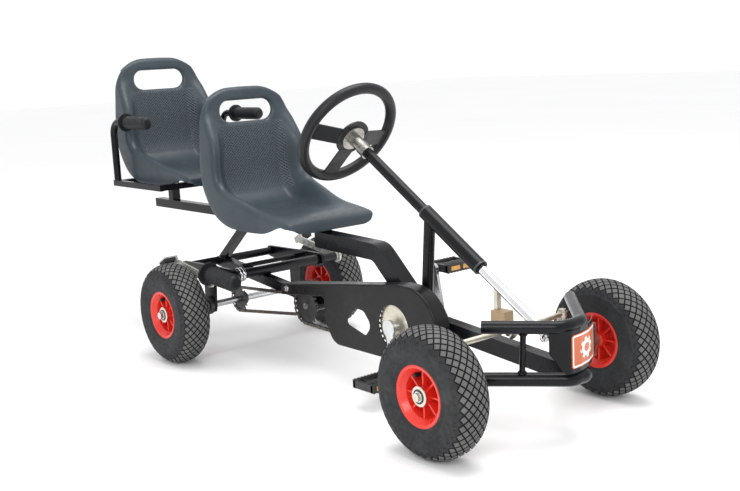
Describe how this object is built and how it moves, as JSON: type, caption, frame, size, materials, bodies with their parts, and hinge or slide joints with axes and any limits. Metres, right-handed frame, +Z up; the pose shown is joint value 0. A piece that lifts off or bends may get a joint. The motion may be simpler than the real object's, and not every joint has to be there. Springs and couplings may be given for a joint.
{
  "type": "pedal go kart",
  "caption": "Tandem pedal go kart with bucket seats, chain drive to a solid rear axle, column steering, brake lever over the rear tyres and pneumatic-style wheels.",
  "frame": {"origin": "on the floor, under the middle of the kart's overall length, on its middle plane", "axes": "+X forward towards the nose, +Y to the driver's left, +Z up"},
  "size_m": [1.651, 0.605, 0.7898],
  "materials": {
    "tyre": "matte moulded rubber",
    "rim": "moulded satin",
    "seat": "moulded satin with a textured panel",
    "frame": "gloss black powder coat",
    "guard": "gloss black powder coat",
    "steel": "bright drawn steel",
    "zinc": "yellowed zinc plate",
    "chrome": "polished",
    "chain": "oiled steel",
    "grip": "soft matte rubber",
    "wheel_grip": "foam covered ring",
    "bush": "black nylon",
    "plate": "printed orange with a white border",
    "pedal": "moulded black",
    "pad": "brake block",
    "block": "moulded tan",
    "dark_steel": "oiled black steel"
  },
  "bodies": {
    "chassis": {"main_beam": "frame", "seat_tube": "frame", "seat_beam": "frame", "seat_supports": "frame", "rear_spine": "frame", "rear_cross_tubes": "frame", "axle_hangers": "frame", "axle_bearings": "bush", "bottom_bracket": "frame", "jackshaft_housing": "frame", "column_post": "frame", "column_sleeve": "frame", "column_bushes": "bush", "bumper_lower": "frame", "bumper_upper": "frame", "bumper_struts": "frame", "kingpin_housings": "frame", "nose_panel": "guard", "nose_plate": "plate", "chain_guard": "guard", "front_chain": "chain", "rear_chain": "chain", "front_seat": "seat", "rear_seat": "seat", "rear_seat_carrier": "frame", "arm_tubes": "frame", "arm_grips": "grip"},
    "steering": {"steering_wheel": "wheel_grip", "steering_hub": "chrome", "column_tube": "frame", "steering_shaft": "steel", "pitman_arm": "zinc", "pitman_block": "block"},
    "tie_rod_right": {"tie_rod_right": "zinc"},
    "tie_rod_left": {"tie_rod_left": "zinc"},
    "knuckle_right": {"knuckle_right": "frame", "fasteners_right": "steel"},
    "knuckle_left": {"knuckle_left": "frame", "fasteners_left": "steel"},
    "front_wheel_right": {"tyre_front_right": "tyre", "rim_front_right": "rim"},
    "front_wheel_left": {"tyre_front_left": "tyre", "rim_front_left": "rim"},
    "rear_axle": {"axle_shaft": "steel", "axle_sprocket": "steel", "axle_nuts": "steel", "tyre_rear_right": "tyre", "tyre_rear_left": "tyre", "rim_rear_right": "rim", "rim_rear_left": "rim"},
    "crank": {"crank_axle": "steel", "crank_arms": "steel", "chainring": "zinc"},
    "pedal_right": {"pedal_right": "pedal"},
    "pedal_left": {"pedal_left": "pedal"},
    "jackshaft": {"jackshaft": "steel", "jack_sprockets": "dark_steel"},
    "brake": {"brake_yoke": "frame", "brake_grip": "grip", "brake_pads": "pad"}
  },
  "joints": [
    {"name": "column_turn", "type": "hinge", "parent": "chassis", "child": "steering", "pos_m": [0.172, 0, 0.555], "axis": [-0.8406, 0, 0.5417], "range_deg": [-28, 28]},
    {"name": "kingpin_right", "type": "hinge", "parent": "chassis", "child": "knuckle_right", "pos_m": [0.664, -0.19, 0.13], "axis": [0, 0, 1], "range_deg": [-28, 28]},
    {"name": "kingpin_left", "type": "hinge", "parent": "chassis", "child": "knuckle_left", "pos_m": [0.664, 0.19, 0.13], "axis": [0, 0, 1], "range_deg": [-28, 28]},
    {"name": "tie_rod_right_pivot", "type": "hinge", "parent": "knuckle_right", "child": "tie_rod_right", "pos_m": [0.604, -0.19, 0.186], "axis": [0, 0, 1], "range_deg": [-28, 28]},
    {"name": "tie_rod_left_pivot", "type": "hinge", "parent": "knuckle_left", "child": "tie_rod_left", "pos_m": [0.604, 0.19, 0.186], "axis": [0, 0, 1], "range_deg": [-28, 28]},
    {"name": "front_wheel_right_spin", "type": "hinge", "parent": "knuckle_right", "child": "front_wheel_right", "pos_m": [0.664, -0.26, 0.13], "axis": [0, 1, 0], "continuous": true},
    {"name": "front_wheel_left_spin", "type": "hinge", "parent": "knuckle_left", "child": "front_wheel_left", "pos_m": [0.664, 0.26, 0.13], "axis": [0, 1, 0], "continuous": true},
    {"name": "rear_axle_spin", "type": "hinge", "parent": "chassis", "child": "rear_axle", "pos_m": [-0.326, 0, 0.13], "axis": [0, 1, 0], "continuous": true},
    {"name": "jackshaft_spin", "type": "hinge", "parent": "chassis", "child": "jackshaft", "pos_m": [-0.004, 0, 0.16], "axis": [0, 1, 0], "continuous": true},
    {"name": "crank_spin", "type": "hinge", "parent": "chassis", "child": "crank", "pos_m": [0.334, 0, 0.163], "axis": [0, 1, 0], "continuous": true},
    {"name": "pedal_right_spin", "type": "hinge", "parent": "crank", "child": "pedal_right", "pos_m": [0.35293, -0.135, 0.05566], "axis": [0, 1, 0], "continuous": true},
    {"name": "pedal_left_spin", "type": "hinge", "parent": "crank", "child": "pedal_left", "pos_m": [0.31507, 0.135, 0.27034], "axis": [0, 1, 0], "continuous": true},
    {"name": "brake_lever", "type": "hinge", "parent": "chassis", "child": "brake", "pos_m": [-0.214, 0, 0.222], "axis": [0, 1, 0], "range_deg": [-1, 6]}
  ],
  "couplings": [
    {"joint": "kingpin_right", "follows": "column_turn", "ratio": 1},
    {"joint": "kingpin_left", "follows": "column_turn", "ratio": 1},
    {"joint": "tie_rod_right_pivot", "follows": "column_turn", "ratio": -1},
    {"joint": "tie_rod_left_pivot", "follows": "column_turn", "ratio": -1},
    {"joint": "jackshaft_spin", "follows": "rear_axle_spin", "ratio": 1.3333},
    {"joint": "crank_spin", "follows": "rear_axle_spin", "ratio": 1.0476}
  ]
}
